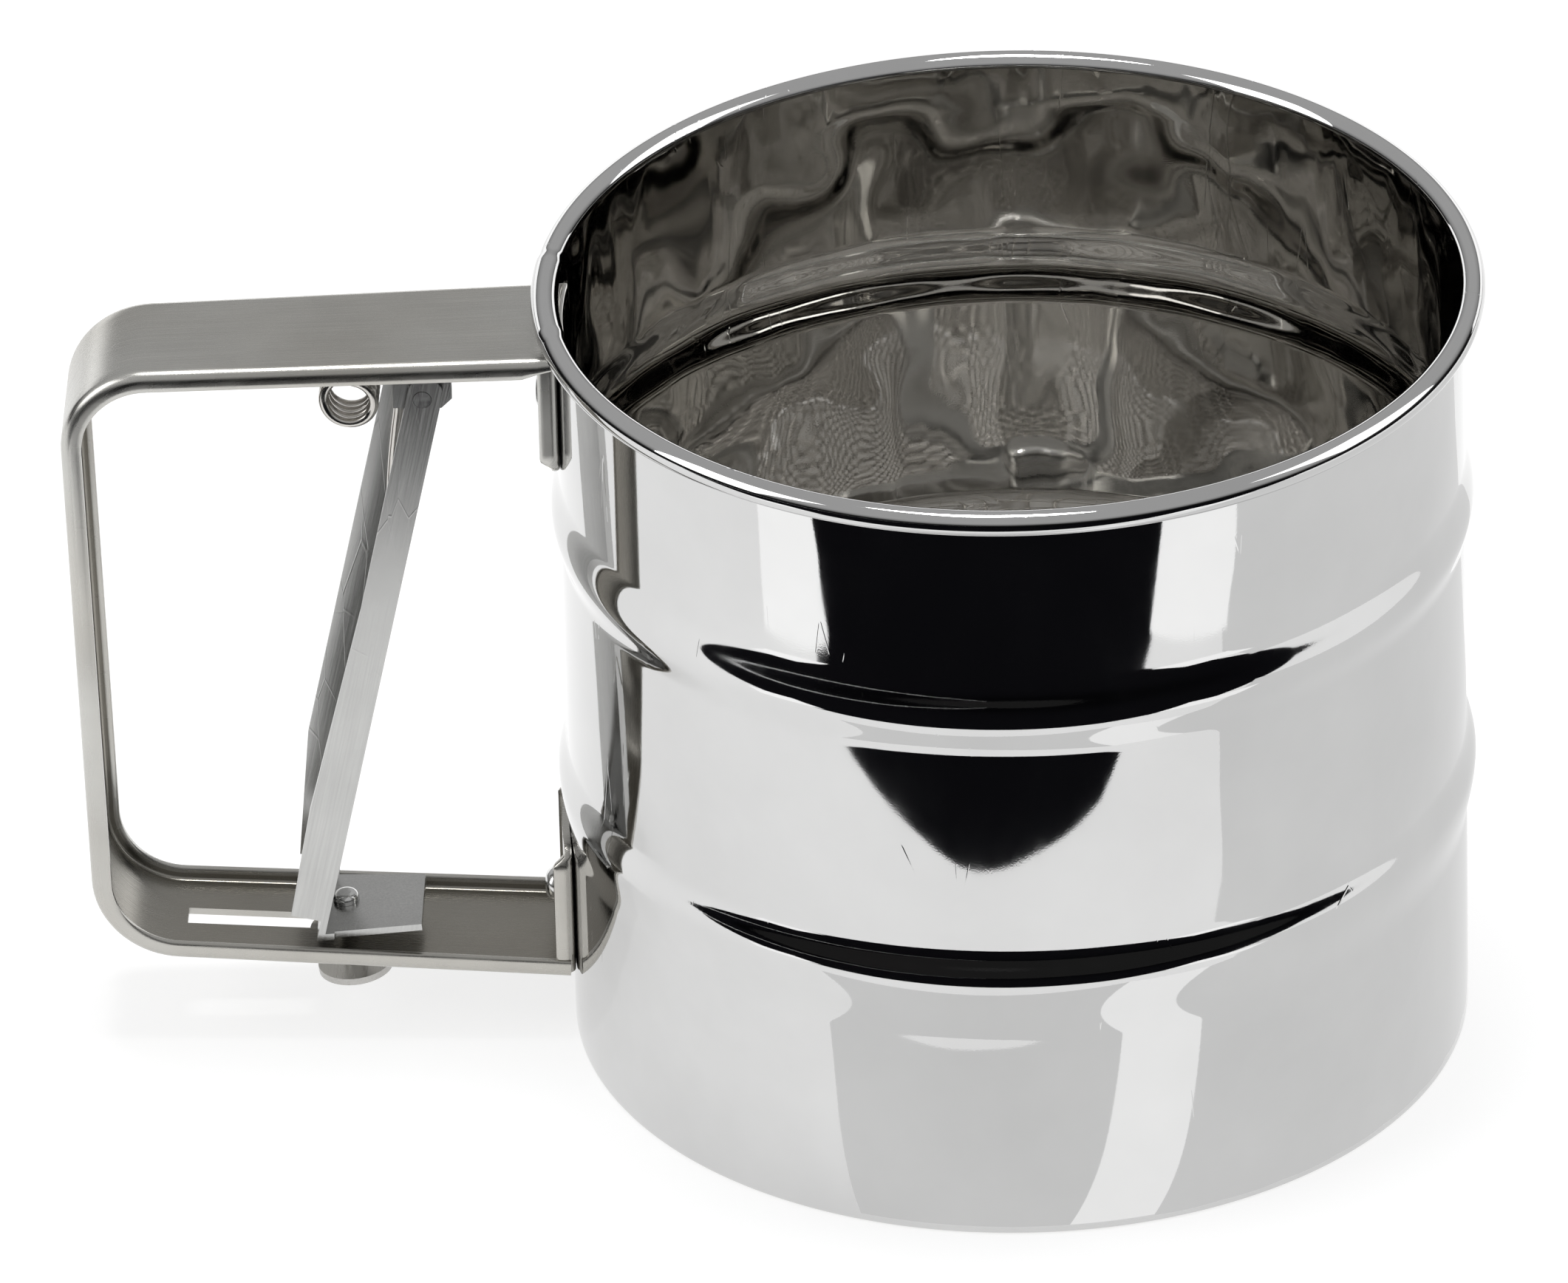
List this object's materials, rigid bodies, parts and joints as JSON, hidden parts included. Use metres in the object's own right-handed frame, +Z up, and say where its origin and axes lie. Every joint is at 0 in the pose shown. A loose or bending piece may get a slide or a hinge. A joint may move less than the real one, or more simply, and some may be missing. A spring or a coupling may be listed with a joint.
{
  "type": "flour sifter",
  "caption": "Stainless steel flour sifter with a mirror-polished beaded cup, a squeeze trigger in a strip handle, and an agitator over its mesh screen.",
  "frame": {"origin": "centre of the bounding box at the cup's base", "axes": "+Z up along the cup's axis, -X towards the handle's grip"},
  "size_m": [0.1568, 0.105, 0.0926],
  "materials": {
    "mirror_steel": "mirror polished stainless",
    "brushed_steel": "brushed",
    "satin_steel": "satin",
    "bright_rivet": "polished",
    "spring_wire": "drawn wire",
    "screen_wire": "woven wire"
  },
  "bodies": {
    "root": {"cup_body": "mirror_steel", "mesh_screen": "screen_wire", "screen_top_ring": "satin_steel", "screen_retaining_ring": "satin_steel", "bridge_bar": "satin_steel", "agitator_axle": "satin_steel", "axle_spacer": "satin_steel", "axle_washer": "satin_steel", "axle_cap": "satin_steel", "handle_strip": "brushed_steel", "upper_handle_rivet": "bright_rivet", "lower_handle_rivet": "bright_rivet", "pivot_bracket": "brushed_steel", "trigger_pin": "satin_steel", "trigger_spring": "spring_wire"},
    "trigger": {"trigger": "brushed_steel", "foot_rivet": "bright_rivet", "foot_washer": "satin_steel"},
    "push_bar": {"push_bar": "brushed_steel", "crank_pin": "satin_steel"},
    "agitator": {"crank_arm": "satin_steel", "agitator_hub": "satin_steel", "agitator_rotor": "satin_steel"}
  },
  "joints": [
    {"name": "trigger_swing", "type": "hinge", "parent": "root", "child": "trigger", "pos_m": [-0.03835, 0, 0.08148], "axis": [0, 1, 0], "range_deg": [0, 11], "stiffness_Nm_per_rad": 0.6, "springref_deg": -20.05, "deforming": ["trigger_spring"]},
    {"name": "push_slide", "type": "slide", "parent": "root", "child": "push_bar", "axis": [-0.9985, 0, 0.0546], "range_m": [0, 0.0141]},
    {"name": "agitator_spin", "type": "hinge", "parent": "root", "child": "agitator", "pos_m": [0.02605, 0, 0.0045], "axis": [0, 0, 1], "range_deg": [0, 53.16]}
  ],
  "couplings": [
    {"joint": "push_slide", "follows": "trigger_swing", "m_per_rad": 0.07292},
    {"joint": "agitator_spin", "follows": "trigger_swing", "ratio": 4.8237}
  ]
}
